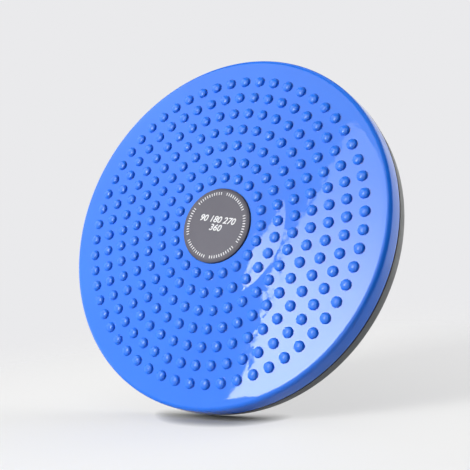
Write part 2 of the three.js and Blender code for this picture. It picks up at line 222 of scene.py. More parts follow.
class Shape:
    """Points in millimetres and faces, collected before they become one mesh."""

    def __init__(self):
        self.points = []
        self.faces = []

    def add(self, points, faces):
        first = len(self.points)
        self.points.extend(tuple(p) for p in points)
        self.faces.extend(tuple(first + i for i in face) for face in faces)
        return self

    def mesh(self, name, outwards=True):
        mesh = bpy.data.meshes.new(name)
        mesh.from_pydata([tuple(c * MM for c in p) for p in self.points], [], self.faces)
        weld(mesh, outwards)
        return mesh


def weld(mesh, outwards=True):
    """Joins points that coincide, and turns the faces outwards."""
    work = bmesh.new()
    work.from_mesh(mesh)
    bmesh.ops.remove_doubles(work, verts=work.verts, dist=WELD)
    bmesh.ops.dissolve_degenerate(work, edges=work.edges, dist=WELD)
    if outwards:
        bmesh.ops.recalc_face_normals(work, faces=work.faces)
    work.to_mesh(mesh)
    work.free()


def joined(name, meshes, outwards=True):
    """Several meshes as one."""
    work = bmesh.new()
    for mesh in meshes:
        work.from_mesh(mesh)
    bmesh.ops.remove_doubles(work, verts=work.verts, dist=WELD)
    if outwards:
        bmesh.ops.recalc_face_normals(work, faces=work.faces)
    mesh = bpy.data.meshes.new(name)
    work.to_mesh(mesh)
    work.free()
    return mesh


def rounded(corners):
    """An outline whose (radius, height, rounding) corners are turned into short arcs."""
    outline = []
    for i, (radius, height, rounding) in enumerate(corners):
        corner = Vector((radius, height))
        if rounding == 0:
            outline.append(tuple(corner))
            continue
        back = (Vector(corners[i - 1][:2]) - corner).normalized()
        ahead = (Vector(corners[(i + 1) % len(corners)][:2]) - corner).normalized()
        half = back.angle(ahead) / 2
        centre = corner + (back + ahead).normalized() * (rounding / math.sin(half))
        start = corner + back * (rounding / math.tan(half)) - centre
        end = corner + ahead * (rounding / math.tan(half)) - centre
        for step in range(ARC_STEPS + 1):
            arc = start.lerp(end, step / ARC_STEPS).normalized() * rounding
            outline.append(tuple(centre + arc))
    return outline


def lathe(outline, segments, closed=True):
    """Points and faces of an outline turned about the Z axis."""
    rows = []
    points = []
    for radius, height in outline:
        if radius == 0:
            rows.append([len(points)] * segments)
            points.append((0.0, 0.0, height))
            continue
        rows.append(list(range(len(points), len(points) + segments)))
        points += ring_row(radius, height, segments)
    faces = []
    for k in range(len(rows) if closed else len(rows) - 1):
        here, above = rows[k], rows[(k + 1) % len(rows)]
        for i in range(segments):
            j = (i + 1) % segments
            face = list(dict.fromkeys((here[i], here[j], above[j], above[i])))
            if len(face) > 2:
                faces.append(face)
    return points, faces


def circle(radius, height, count, turn=0.0):
    """Points round the axis, each with its share of the full turn."""
    shares = [(i + turn) / count for i in range(count)]
    return [(share, polar(radius, share * math.tau, height)) for share in shares]


def ring_row(radius, height, count):
    return [p for _, p in circle(radius, height, count)]


def skin(rows, closed=False):
    """Points and faces over rows of points with one count."""
    count = len(rows[0])
    points = [p for row in rows for p in row]
    faces = []
    for k in range(len(rows) if closed else len(rows) - 1):
        above = (k + 1) % len(rows)
        for i in range(count):
            j = (i + 1) % count
            faces.append((k * count + i, k * count + j, above * count + j, above * count + i))
    return points, faces


def cell_border(inner, outer, half, steps):
    """(radius, angle) points round one cell of a ring, from its first inner corner."""
    shares = [i / steps for i in range(steps)]
    border = [(inner + (outer - inner) * s, -half) for s in shares]
    border += [(outer, half * (2 * s - 1)) for s in shares]
    border += [(outer + (inner - outer) * s, half) for s in shares]
    border += [(inner, half * (1 - 2 * s)) for s in shares]
    return border


def cell_circle(centre, reach, sides):
    """Points of a circle round a cell's centre, in step with the cell's border."""
    turns = [(i / sides + FIRST_CORNER) * math.tau for i in range(sides)]
    return [(centre + reach * math.cos(turn), reach * math.sin(turn)) for turn in turns]


def strip(inner, outer):
    """Points and triangles between two circles whose counts may differ."""
    points = [p for _, p in inner] + [p for _, p in outer]
    faces = []
    i = j = 0
    n, m = len(inner), len(outer)
    while i < n or j < m:
        a, b = i % n, n + j % m
        next_inner = inner[0][0] + (i + 1) / n
        next_outer = outer[0][0] + (j + 1) / m
        if j == m or (i < n and next_inner < next_outer):
            i += 1
            faces.append((a, b, i % n))
        else:
            j += 1
            faces.append((a, b, n + j % m))
    return points, faces


def slab(inner, outer, bottom, top_at, draft, steps=1):
    """An upright rib along +X, thinner at its free lower edge, with a top that follows a level."""
    low, high = RIB_THICKNESS / 2 - draft, RIB_THICKNESS / 2
    rows = []
    for i in range(steps + 1):
        x = inner + (outer - inner) * i / steps
        top = top_at(x)
        rows.append([(x, -low, bottom), (x, low, bottom), (x, high, top), (x, -high, top)])
    points, faces = skin(rows)
    return points, [(3, 2, 1, 0), tuple(range(4 * steps, 4 * steps + 4)), *faces]


# Nodes of every kind

def add_node(tree, kind, inputs=None, output=0, **settings):
    """One output of a new node, whose inputs are numbers, colours or other nodes' outputs."""
    node = tree.nodes.new(kind)
    for name, value in settings.items():
        setattr(node, name, value)
    for name, value in (inputs or {}).items():
        if isinstance(value, bpy.types.NodeSocket):
            tree.links.new(value, node.inputs[name])
        else:
            node.inputs[name].default_value = value
    return node.outputs[output]


def calculate(tree, operation, *values):
    """The result of a Math node on one, two or three values."""
    return add_node(tree, "ShaderNodeMath", dict(enumerate(values)), operation=operation)


# What repeats round the axis, by Geometry Nodes

GIVEN = {
    "Seed": "Geometry", "Count": "Int", "Step": "Float", "Start": "Float", "Weld": "Float",
    "Finish": "Material",
}


def round_the_axis_tree():
    """Copies of a seed mesh, equally turned about the Z axis."""
    tree = bpy.data.node_groups.new("round_the_axis", "GeometryNodeTree")
    for name, kind in GIVEN.items():
        tree.interface.new_socket(name, in_out="INPUT", socket_type="NodeSocket" + kind)
    tree.interface.new_socket("Mesh", in_out="OUTPUT", socket_type="NodeSocketGeometry")
    given = tree.nodes.new("NodeGroupInput").outputs
    places = add_node(tree, "GeometryNodePoints", {"Count": given["Count"]})
    index = add_node(tree, "GeometryNodeInputIndex")
    turn = calculate(tree, "MULTIPLY_ADD", index, given["Step"], given["Start"])
    about_z = add_node(tree, "ShaderNodeCombineXYZ", {"Z": turn})
    copies = add_node(tree, "GeometryNodeInstanceOnPoints", {
        "Points": places, "Instance": given["Seed"], "Rotation": about_z,
    })
    real = add_node(tree, "GeometryNodeRealizeInstances", {"Geometry": copies})
    welded = add_node(tree, "GeometryNodeMergeByDistance", {
        "Geometry": real, "Distance": given["Weld"],
    })
    painted = add_node(tree, "GeometryNodeSetMaterial", {
        "Geometry": welded, "Material": given["Finish"],
    })
    tree.links.new(painted, tree.nodes.new("NodeGroupOutput").inputs["Mesh"])
    return tree


ROUND_THE_AXIS = round_the_axis_tree()


def round_the_axis(seed, count, finish, step=None, start=0.0):
    """The plain mesh of a seed mesh repeated about the Z axis."""
    grower = bpy.data.objects.new(seed.name, seed)
    bpy.context.scene.collection.objects.link(grower)
    modifier = grower.modifiers.new("round_the_axis", "NODES")
    modifier.node_group = ROUND_THE_AXIS
    values = {
        "Count": count,
        "Step": math.tau / count if step is None else step,
        "Start": start,
        "Weld": WELD,
        "Finish": finish,
    }
    for item in ROUND_THE_AXIS.interface.items_tree:
        if item.name in values:
            modifier[item.identifier] = values[item.name]
    graph = bpy.context.evaluated_depsgraph_get()
    mesh = bpy.data.meshes.new_from_object(grower.evaluated_get(graph))
    bpy.data.objects.remove(grower)
    return mesh


# Materials

def linear(red, green, blue):
    """A colour as a screen shows it, from 0 to 255, as the linear colour of a shader."""
    def one(c):
        c /= 255
        return c / 12.92 if c <= 0.04045 else ((c + 0.055) / 1.055) ** 2.4
    return (one(red), one(green), one(blue), 1.0)


def object_place(tree):
    return add_node(tree, "ShaderNodeTexCoord", output="Object")


def distance(tree):
    """How far a place is from the object's origin, in metres."""
    place = {0: object_place(tree)}
    return add_node(tree, "ShaderNodeVectorMath", place, "Value", operation="LENGTH")


def spread(tree, value, start, end, low, high, curve="LINEAR"):
    """A value between start and end as one between low and high."""
    limits = {"Value": value, "From Min": start, "From Max": end, "To Min": low, "To Max": high}
    return add_node(tree, "ShaderNodeMapRange", limits, interpolation_type=curve)


def mixed(tree, share, first, second):
    """Two colours mixed by a share."""
    colours = {"Factor": share, "A": first, "B": second}
    return add_node(tree, "ShaderNodeMix", colours, "Result", data_type="RGBA")


def noise(tree, size, detail):
    """A noise on Object coordinates whose patches are about this size, in millimetres."""
    pattern = {"Vector": object_place(tree), "Scale": 1 / (size * MM), "Detail": detail}
    return add_node(tree, "ShaderNodeTexNoise", pattern, "Fac")


def relief(tree, layers):
    """Bumps over one another, each with its patch size, detail and depth, in millimetres."""
    normal = None
    for size, detail, depth in layers:
        layer = {"Strength": 1.0, "Distance": depth * MM, "Height": noise(tree, size, detail)}
        if normal is not None:
            layer["Normal"] = normal
        normal = add_node(tree, "ShaderNodeBump", layer)
    return normal


# Painted shade beside the parting gap: the outer edges there are darkened in their colour
GAP_LEVEL = RIM_TOP + PARTING_GAP / 2
GAP_SHADE_SHARE = 0.9
GAP_SHADE_REACH = (0.65, 1.1)  # full and none, in millimetres from the middle of the gap
GAP_SHADE_FROM = (DISC_RADIUS - 1.2, DISC_RADIUS - 0.8)  # none and full, from the disc's centre


def painted_gap_shade(tree):
    """The share of painted shade: high on the outer edges beside the parting gap, none elsewhere."""
    level = add_node(tree, "ShaderNodeSeparateXYZ", {0: object_place(tree)}, "Z")
    away = calculate(tree, "ABSOLUTE", calculate(tree, "SUBTRACT", level, GAP_LEVEL * MM))
    near = spread(tree, away, GAP_SHADE_REACH[0] * MM, GAP_SHADE_REACH[1] * MM, GAP_SHADE_SHARE, 0)
    outside = spread(tree, distance(tree), GAP_SHADE_FROM[0] * MM, GAP_SHADE_FROM[1] * MM, 0, 1)
    return calculate(tree, "MULTIPLY", near, outside)


NOISE_MIDDLE = (0.3, 0.7)  # most of a noise's values


def make_finish(
    name, colours, patches, roughness, rough_patches,
    layers=(), full=False, gap_shade_colour=None, metallic=0.0,
):
    """A material whose two colours and whose roughness vary in patches, with a fine relief.

    Patches have a size in millimetres and a detail. Where full is true, both colours show plainly.
    """
    material = bpy.data.materials.new(name)
    material.use_nodes = True
    tree = material.node_tree
    shader = tree.nodes["Principled BSDF"]
    share = noise(tree, *patches)
    if full:
        share = spread(tree, share, *NOISE_MIDDLE, 0, 1)
    colour = mixed(tree, share, *colours)
    # painted shade on the outer edges beside the parting gap
    if gap_shade_colour:
        colour = mixed(tree, painted_gap_shade(tree), colour, gap_shade_colour)
    rough = spread(tree, noise(tree, *rough_patches), *NOISE_MIDDLE, *roughness)
    tree.links.new(colour, shader.inputs["Base Color"])
    tree.links.new(rough, shader.inputs["Roughness"])
    shader.inputs["Metallic"].default_value = metallic
    if layers:
        tree.links.new(relief(tree, layers), shader.inputs["Normal"])
    return material


LOOKS = {
    "gloss_blue": dict(
        colours=((0.015, 0.191, 0.93, 1), (0.019, 0.206, 0.955, 1)), patches=(45.0, 3.0), full=True,
        roughness=(0.015, 0.035), rough_patches=(9.0, 4.0),
        layers=[(14.0, 2.0, 0.06), (4.0, 1.0, 0.006), (0.6, 2.0, 0.0006)],
        # painted shade colour beside the parting gap
        gap_shade_colour=linear(14, 24, 58),
    ),
    "satin_grey": dict(
        colours=(linear(104, 107, 108), linear(112, 115, 117)), patches=(30.0, 3.0), full=True,
        roughness=(0.40, 0.52), rough_patches=(4.0, 3.0),
        layers=[(0.35, 3.0, 0.02)],
        # painted shade colour beside the parting gap
        gap_shade_colour=linear(20, 21, 25),
    ),
    "cap_grey": dict(
        colours=(linear(77, 75, 87), linear(83, 81, 93)), patches=(18.0, 3.0), full=True,
        roughness=(0.36, 0.46), rough_patches=(2.0, 3.0),
        layers=[(0.25, 2.0, 0.008)],
    ),
    "white_print": dict(
        colours=(linear(226, 226, 230), linear(244, 244, 246)), patches=(0.8, 3.0),
        roughness=(0.45, 0.6), rough_patches=(0.5, 2.0),
    ),
    "black_rubber": dict(
        colours=(linear(24, 24, 25), linear(38, 38, 40)), patches=(3.0, 4.0),
        roughness=(0.72, 0.9), rough_patches=(1.2, 3.0),
        layers=[(0.3, 3.0, 0.03)],
    ),
    "natural_nylon": dict(
        colours=(linear(222, 216, 198), linear(233, 228, 214)), patches=(12.0, 3.0),
        roughness=(0.42, 0.58), rough_patches=(2.5, 3.0),
        layers=[(0.4, 2.0, 0.01)],
    ),
    "zinc_steel": dict(
        colours=(linear(172, 178, 184), linear(196, 200, 203)), patches=(2.2, 5.0),
        roughness=(0.26, 0.42), rough_patches=(1.0, 4.0),
        layers=[(0.5, 3.0, 0.006)], metallic=1.0,
    ),
    "ball_steel": dict(
        colours=(linear(205, 207, 210), linear(216, 218, 220)), patches=(2.0, 3.0),
        roughness=(0.07, 0.13), rough_patches=(0.8, 3.0), metallic=1.0,
    ),
}
FINISHES = {name: make_finish(name, **look) for name, look in LOOKS.items()}


def piece(name, mesh, body, slot, nodes, finishes=None):
    """A mesh as a smooth-shaded piece that stands for CAD nodes and moves with their body."""
    painted = [polygon.material_index for polygon in mesh.polygons]
    mesh.materials.clear()
    for finish in finishes or [slot]:
        mesh.materials.append(FINISHES[finish])
    mesh.polygons.foreach_set("material_index", painted if finishes else [0] * len(painted))
    mesh.shade_smooth()
    mesh.set_sharp_from_angle(angle=SHARP_ANGLE)
    obj = bpy.data.objects.new(name, mesh)
    bpy.context.scene.collection.objects.link(obj)
    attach(obj, body)
    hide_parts(*nodes)
    return obj


BODIES = frame["record"]["behaviour"]["bodies"]
BODY_OF = {node: body for body, members in BODIES.items() for node in members}
TOP_BODY = BODY_OF["top_plate"]
BASE_BODY = BODY_OF["base_plate"]
BEARING_BODY = BODY_OF["ball_cage"]


# The top plate's mesh

def bump_cell(radius, count):
    """One bump with its share of the face: rings of points from the cell's border to the top."""
    inner, outer = radius - BAND_HALF_WIDTH, radius + BAND_HALF_WIDTH
    border = cell_border(inner, outer, math.pi / count, BORDER_STEPS)
    rings = [[polar(r, a, crown_level(r)) for r, a in border]]
    sides = len(border)
    for reach, lift in BUMP_PROFILE:
        ring = cell_circle(radius, reach, sides)
        rings.append([(x, y, crown_level(math.hypot(x, y)) + lift) for x, y in ring])
    points, faces = skin(rings)
    top = len(points)
    last = top - sides
    points.append((radius, 0.0, crown_level(radius) + BUMP_HEIGHT))
    faces += [(last + i, last + (i + 1) % sides, top) for i in range(sides)]
    return Shape().add(points, faces).mesh("bump_cell", outwards=False)


def top_outline():
    """From the face at the cap's recess, past hub and underside, to the face at the shoulder."""
    hub_bottom = BASE_HUB_TOP + RUNNING_GAP
    pocket_floor = WASHER_LEVEL - RUNNING_GAP
    recess = CAP_RADIUS + SEAT_GAP
    near_in, near_out = BALL_CIRCLE - CHANNEL_HALF_WIDTH, BALL_CIRCLE + CHANNEL_HALF_WIDTH
    far_in, far_out = near_in - SEAT_RIB, near_out + SEAT_RIB
    inside = DISC_RADIUS - TOP_WALL

    def under(radius):
        return crown_level(radius) - TOP_WALL

    corners = [
        (recess + RECESS_LIP, crown_level(recess + RECESS_LIP), 0),
        (recess, crown_level(recess), 0.25),
        (recess, CAP_SEAT_LEVEL, 0),
        (WASHER_POCKET, CAP_SEAT_LEVEL, 0.3),
        (WASHER_POCKET, pocket_floor, 0),
        (SLEEVE_RADIUS + RUNNING_GAP, pocket_floor, 0),
        (SLEEVE_RADIUS + RUNNING_GAP, hub_bottom, 0.3),
        (HUB_RADIUS, hub_bottom, 0.5),
        (HUB_RADIUS, under(HUB_RADIUS), 0.8),
        (CONE_RADIUS, under(CONE_RADIUS), 0),
        (far_in, under(far_in), 0.6),
        (far_in, UPPER_RACE_TOP, 0.2),
        (near_in, UPPER_RACE_TOP, 0.2),
        (near_in, under(near_in), 0.6),
        (near_out, under(near_out), 0.6),
        (near_out, UPPER_RACE_TOP, 0.2),
        (far_out, UPPER_RACE_TOP, 0.2),
        (far_out, under(far_out), 0.6),
        (inside - TOP_DRAFT, FACE_EDGE_LEVEL - TOP_WALL, 1.0),
        (inside, TOP_BOTTOM, 0.3),
        (DISC_RADIUS, TOP_BOTTOM, 0.2),
        (DISC_RADIUS - TOP_DRAFT, FACE_EDGE_LEVEL - SHOULDER_RADIUS, 0),
    ]
    outline = rounded(corners)
    for i in range(1, SHOULDER_STEPS + 1):
        angle = i / SHOULDER_STEPS * math.pi / 2
        outline.append((
            FACE_RADIUS + SHOULDER_RADIUS * math.cos(angle),
            FACE_EDGE_LEVEL - SHOULDER_RADIUS * (1 - math.sin(angle)),
        ))
    between = (
        FACE_RADIUS + FIRST_RING_RADIUS + (RING_COUNT - 1) * RING_PITCH + BAND_HALF_WIDTH
    ) / 2
    outline.append((between, crown_level(between)))
    return outline


def top_ribs(finish):
    """Radial ribs under the face, inside and outside the bearing."""
    bottom = UPPER_RACE_TOP + RIB_TO_RACE_GAP
    seat = CHANNEL_HALF_WIDTH + SEAT_RIB / 2
    outside = DISC_RADIUS - TOP_WALL / 2 - TOP_DRAFT

    def middle(radius):
        return crown_level(radius) - TOP_WALL / 2

    ribs = Shape()
    for ends in ((HUB_RADIUS - HUB_WALL / 2, BALL_CIRCLE - seat), (BALL_CIRCLE + seat, outside)):
        ribs.add(*slab(*ends, bottom, middle, TOP_RIB_DRAFT, TOP_RIB_STEPS))
    return round_the_axis(ribs.mesh("top_rib"), TOP_RIBS, finish)


def top_plate():
    finish = FINISHES["gloss_blue"]
    bands = []
    joins = Shape()
    outline = top_outline()
    edge = circle(*outline[0], PLATE_SEGMENTS)
    for k in range(RING_COUNT):
        count = FIRST_RING_BUMPS + k * BUMPS_ADDED_PER_RING
        radius = FIRST_RING_RADIUS + k * RING_PITCH
        bands.append(round_the_axis(bump_cell(radius, count), count, finish))
        around = count * BORDER_STEPS
        turn = -BORDER_STEPS / 2
        inner = radius - BAND_HALF_WIDTH
        outer = radius + BAND_HALF_WIDTH
        joins.add(*strip(edge, circle(inner, crown_level(inner), around, turn)))
        edge = circle(outer, crown_level(outer), around, turn)
    joins.add(*strip(edge, circle(*outline[-1], PLATE_SEGMENTS)))
    joins.add(*lathe(outline, PLATE_SEGMENTS, closed=False))
    face = joined("top_plate", bands + [joins.mesh("top_joins", outwards=False)])
    mesh = joined("top_plate", [face, top_ribs(finish)], outwards=False)
    obj = piece("top_plate_moulding", mesh, TOP_BODY, "gloss_blue", ["top_plate"])
    crease = FIRST_RING_RADIUS + CREASE_RING * RING_PITCH + BAND_HALF_WIDTH
    on_crease = [
        abs(vertex.co.xy.length - crease * MM) < 2 * WELD and vertex.co.z > FACE_EDGE_LEVEL * MM
        for vertex in obj.data.vertices
    ]
    for edge in obj.data.edges:
        if all(on_crease[i] for i in edge.vertices):
            edge.use_edge_sharp = True
    return obj


# The cap and its dial

TICK_GROUPS = 6
TICKS_PER_GROUP = 11
TICK_STEP = math.radians(4.8)
TICK_INNER = 21.5
TICK_OUTER = 23.5
TICK_WIDTH = 0.62
PRINT_HEIGHT = 0.12
READING_TURN = math.radians(-25.6)
# Words, size and baseline above the centre
NUMBER_LINES = [("90 180 270", 6.4, 1.9), ("360", 6.4, -3.9)]
NUMBER_SLANT = 0.3
NUMBER_BOLDNESS = 0.02  # share of the size


def print_slab(points_2d):
    """A flat printed shape on the cap as a thin closed slab."""
    levels = (CAP_TOP_LEVEL - PRINT_HEIGHT, CAP_TOP_LEVEL + PRINT_HEIGHT)
    points, faces = skin([[(x, y, level) for x, y in points_2d] for level in levels])
    n = len(points_2d)
    return points, [tuple(reversed(range(n))), tuple(range(n, 2 * n)), *faces]


def dial_ticks():
    """Six groups of fine ticks round the cap."""
    half = TICK_WIDTH / 2
    corners = [(TICK_INNER, -half), (TICK_OUTER, -half), (TICK_OUTER, half), (TICK_INNER, half)]
    seed = Shape().add(*print_slab(corners)).mesh("tick")
    finish = FINISHES["white_print"]
    middle = -TICK_STEP * (TICKS_PER_GROUP - 1) / 2
    group = round_the_axis(seed, TICKS_PER_GROUP, finish, TICK_STEP, middle)
    return round_the_axis(group, TICK_GROUPS, finish, start=READING_TURN)


def dial_numbers():
    """Plain degrees in the middle of the cap."""
    meshes = []
    for words, size, baseline in NUMBER_LINES:
        curve = bpy.data.curves.new("numbers", "FONT")
        curve.body = words
        curve.size = size * MM
        curve.shear = NUMBER_SLANT
        curve.offset = NUMBER_BOLDNESS * size * MM
        curve.extrude = PRINT_HEIGHT * MM
        curve.align_x = "CENTER"
        text = bpy.data.objects.new("numbers", curve)
        bpy.context.scene.collection.objects.link(text)
        graph = bpy.context.evaluated_depsgraph_get()
        mesh = bpy.data.meshes.new_from_object(text.evaluated_get(graph))
        bpy.data.objects.remove(text)
        lift = Matrix.Translation((0, baseline * MM, CAP_TOP_LEVEL * MM))
        mesh.transform(Matrix.Rotation(READING_TURN, 4, "Z") @ lift)
        weld(mesh)
        meshes.append(mesh)
    return meshes


def centre_cap():
    outline = rounded([
        (0, CAP_SEAT_LEVEL, 0),
        (CAP_RADIUS, CAP_SEAT_LEVEL, 0.2),
        (CAP_RADIUS, CAP_TOP_LEVEL - CAP_BEVEL_HEIGHT, 0.35),
        (CAP_RADIUS - CAP_BEVEL_WIDTH, CAP_TOP_LEVEL, 0.5),
        (0, CAP_TOP_LEVEL, 0),
    ])
    body = Shape().add(*lathe(outline, PLATE_SEGMENTS, closed=False)).mesh("cap")
    marks = joined("marks", [dial_ticks(), *dial_numbers()], outwards=False)
    for polygon in marks.polygons:
        polygon.material_index = 1
    mesh = joined("centre_cap", [body, marks], outwards=False)
    finishes = ["cap_grey", "white_print"]
    return piece("centre_cap_disc", mesh, TOP_BODY, "cap_grey", ["centre_cap"], finishes=finishes)


# The base plate's mesh and its pads

def united(name, body, others):
    """A solid mesh joined with others by union."""
    base = bpy.data.objects.new(name, body)
    bpy.context.scene.collection.objects.link(base)
    helpers = []
    for i, other in enumerate(others):
        helper = bpy.data.objects.new(f"{name}_{i}", other)
        bpy.context.scene.collection.objects.link(helper)
        modifier = base.modifiers.new(f"union_{i}", "BOOLEAN")
        modifier.operation = "UNION"
        modifier.solver = "EXACT"
        modifier.object = helper
        helpers.append(helper)
    graph = bpy.context.evaluated_depsgraph_get()
    mesh = bpy.data.meshes.new_from_object(base.evaluated_get(graph))
    for obj in [base, *helpers]:
        bpy.data.objects.remove(obj)
    return mesh


def base_outline():
    inside = DISC_RADIUS - BASE_WALL
    foot = DISC_RADIUS - BASE_DRAFT
    corners = [
        (BOLT_BORE, DECK_BOTTOM, 0.2),
        (WASHER_POCKET, DECK_BOTTOM, 0),
        (WASHER_POCKET, BASE_RIB_BOTTOM, 0.3),
        (BASE_COLLAR, BASE_RIB_BOTTOM, 0.3),
        (BASE_COLLAR, DECK_BOTTOM, 0.6),
    ]
    for i in range(1, BASE_RING_RIBS + 1):
        radius = BASE_COLLAR + i / (BASE_RING_RIBS + 1) * (SKIRT_MIDDLE - BASE_COLLAR)
        corners += [
            (radius, DECK_BOTTOM, 0.6),
            (radius, BASE_RIB_BOTTOM, 0.3),
            (radius + RIB_THICKNESS, BASE_RIB_BOTTOM, 0.3),
            (radius + RIB_THICKNESS, DECK_BOTTOM, 0.6),
        ]
    corners += [
        (inside, DECK_BOTTOM, 0.8),
        (foot - BASE_WALL, BASE_BOTTOM, 0.5),
        (foot, BASE_BOTTOM, 0.7),
        (DISC_RADIUS, RIM_TOP, 0.15),
        (inside, RIM_TOP, 0.3),
        (inside, DECK_TOP, 0.3),
        (BALL_CIRCLE + CHANNEL_HALF_WIDTH, DECK_TOP, 0.2),
        (BALL_CIRCLE + CHANNEL_HALF_WIDTH, DECK_TOP - CHANNEL_DEPTH, 0.3),
        (BALL_CIRCLE - CHANNEL_HALF_WIDTH, DECK_TOP - CHANNEL_DEPTH, 0.3),
        (BALL_CIRCLE - CHANNEL_HALF_WIDTH, DECK_TOP, 0.2),
        (HUB_RADIUS, DECK_TOP, 0.3),
        (HUB_RADIUS, BASE_HUB_TOP, 0.3),
        (BOLT_BORE, BASE_HUB_TOP, 0.2),
    ]
    return rounded(corners)


def base_plate():
    finish = FINISHES["satin_grey"]
    root = DECK_BOTTOM + RACE_FLOOR / 2
    body = Shape().add(*lathe(base_outline(), PLATE_SEGMENTS)).mesh("base_plate")
    inside = BASE_COLLAR - RIB_THICKNESS / 2
    rib = slab(inside, SKIRT_MIDDLE, BASE_RIB_BOTTOM, lambda radius: root, BASE_RIB_DRAFT)
    ribs = round_the_axis(Shape().add(*rib).mesh("base_rib"), BASE_RIBS, finish)
    boss_outline = rounded([
        (0, PAD_THICKNESS, 0),
        (PAD_RADIUS + PAD_BOSS_MARGIN, PAD_THICKNESS, 0.4),
        (PAD_RADIUS + PAD_BOSS_MARGIN, root, 0),
        (0, root, 0),
    ])
    boss = Shape().add(*lathe(boss_outline, SMALL_SEGMENTS, closed=False)).mesh("pad_boss")
    boss.transform(Matrix.Translation((PAD_CIRCLE * MM, 0, 0)))
    bosses = round_the_axis(boss, PAD_COUNT, finish)
    mesh = united("base_plate", body, [bosses, ribs])
    return piece("base_plate_moulding", mesh, BASE_BODY, "satin_grey", ["base_plate"])


def rubber_pads():
    """Round pads with two ring grooves in their undersides."""
    corners = [(0, 0, 0)]
    for low, high, sinking, rising in PAD_GROOVES:
        corners += [(low, 0, 0.15), (sinking, PAD_GROOVE_DEPTH, 0)]
        corners += [(rising, PAD_GROOVE_DEPTH, 0), (high, 0, 0.15)]
    outline = rounded([
        *corners,
        (PAD_RADIUS, 0, 0.6),
        (PAD_RADIUS, PAD_THICKNESS, 0.2),
        (0, PAD_THICKNESS, 0),
    ])
    seed = Shape().add(*lathe(outline, SMALL_SEGMENTS, closed=False)).mesh("rubber_pad")
    seed.transform(Matrix.Translation((PAD_CIRCLE * MM, 0, 0)))
    mesh = round_the_axis(seed, PAD_COUNT, FINISHES["black_rubber"])
    nodes = [f"rubber_pad_{i + 1}" for i in range(PAD_COUNT)]
    return piece("rubber_pads", mesh, BASE_BODY, "black_rubber", nodes)


# Races, cage and balls

def groove_arc(radius, half_width, centre, direction):
    """Points across a race's groove, on an arc about the balls' centre."""
    half = math.asin(half_width / radius)
    arc = []
    for i in range(GROOVE_STEPS + 1):
        angle = direction * half * (2 * i / GROOVE_STEPS - 1)
        arc.append((BALL_CIRCLE + radius * math.sin(angle), centre - radius * math.cos(angle)))
    return arc


def race(level, upside_down):
    """A pressed steel race, its flanges from the level up and its groove sunk below them."""
    centre = RACE_THICKNESS - RACE_GROOVE_DEPTH + GROOVE_RADIUS
    inner, outer = BALL_CIRCLE - RACE_WIDTH / 2, BALL_CIRCLE + RACE_WIDTH / 2
    edge, high = RACE_CHAMFER, RACE_THICKNESS
    outline = [(inner, edge), (inner + edge, 0)]
    outline += groove_arc(BULGE_RADIUS, BULGE_HALF_WIDTH, centre, 1)
    outline += [(outer - edge, 0), (outer, edge), (outer, high - edge), (outer - edge, high)]
    outline += groove_arc(GROOVE_RADIUS, GROOVE_HALF_WIDTH, centre, -1)
    outline += [(inner + edge, high), (inner, high - edge)]
    side = -1 if upside_down else 1
    outline = [(radius, level + side * height) for radius, height in outline]
    return Shape().add(*lathe(outline, RACE_SEGMENTS)).mesh("race")


def cage():
    """A flat nylon ring with a round pocket for each ball, made of one cell a ball."""
    inner, outer = BALL_CIRCLE - CAGE_WIDTH / 2, BALL_CIRCLE + CAGE_WIDTH / 2
    border = cell_border(inner, outer, math.pi / BALL_COUNT, CAGE_STEPS)
    sides = len(border)
    low, high = BALL_LEVEL - CAGE_THICKNESS / 2, BALL_LEVEL + CAGE_THICKNESS / 2
    pocket = BALL_RADIUS + RUNNING_GAP
    mouth = pocket + CAGE_CHAMFER
    pocket_rows = [
        (mouth, high), (pocket, high - CAGE_CHAMFER), (pocket, low + CAGE_CHAMFER), (mouth, low),
    ]
    rows = [[polar(r, a, high) for r, a in border]]
    for reach, level in pocket_rows:
        rows.append([(x, y, level) for x, y in cell_circle(BALL_CIRCLE, reach, sides)])
    rows.append([polar(r, a, low) for r, a in border])
    points, faces = skin(rows)
    last = len(points) - sides
    for i in range(sides):
        j = (i + 1) % sides
        if i // CAGE_STEPS in (1, 3):  # the outer and inner walls, where no cell adjoins
            faces.append((last + i, last + j, j, i))
    cell = Shape().add(points, faces).mesh("cage_cell", outwards=False)
    mesh = round_the_axis(cell, BALL_COUNT, FINISHES["natural_nylon"])
    weld(mesh)
    return mesh


def balls():
    outline = []
    for i in range(BALL_RINGS + 1):
        angle = (i / BALL_RINGS - 0.5) * math.pi
        radius = 0 if i in (0, BALL_RINGS) else BALL_RADIUS * math.cos(angle)
        outline.append((radius, BALL_LEVEL + BALL_RADIUS * math.sin(angle)))
    seed = Shape().add(*lathe(outline, BALL_SEGMENTS, closed=False)).mesh("ball")
    seed.transform(Matrix.Translation((BALL_CIRCLE * MM, 0, 0)))
    return round_the_axis(seed, BALL_COUNT, FINISHES["ball_steel"])


def bearing():
    piece("lower_race_ring", race(DECK_TOP, False), BASE_BODY, "zinc_steel", ["lower_race"])
    piece("upper_race_ring", race(UPPER_RACE_TOP, True), TOP_BODY, "zinc_steel", ["upper_race"])
    piece("ball_cage_ring", cage(), BEARING_BODY, "natural_nylon", ["ball_cage"])
    nodes = [f"ball_{i + 1:02d}" for i in range(BALL_COUNT)]
    piece("bearing_balls", balls(), BEARING_BODY, "ball_steel", nodes)


# Bolt, nut, washers and sleeve

def washer(level):
    outline = rounded([
        (BOLT_BORE, level, 0.15),
        (WASHER_RADIUS, level, 0.3),
        (WASHER_RADIUS, level + WASHER_THICKNESS, 0.15),
        (BOLT_BORE, level + WASHER_THICKNESS, 0.15),
    ])
    return Shape().add(*lathe(outline, SMALL_SEGMENTS)).mesh("washer")


def sleeve():
    outline = rounded([
        (BOLT_BORE, BASE_HUB_TOP, 0.3),
        (SLEEVE_RADIUS, BASE_HUB_TOP, 0.4),
        (SLEEVE_RADIUS, WASHER_LEVEL, 0.4),
        (BOLT_BORE, WASHER_LEVEL, 0.3),
    ])
    return Shape().add(*lathe(outline, SMALL_SEGMENTS)).mesh("sleeve")


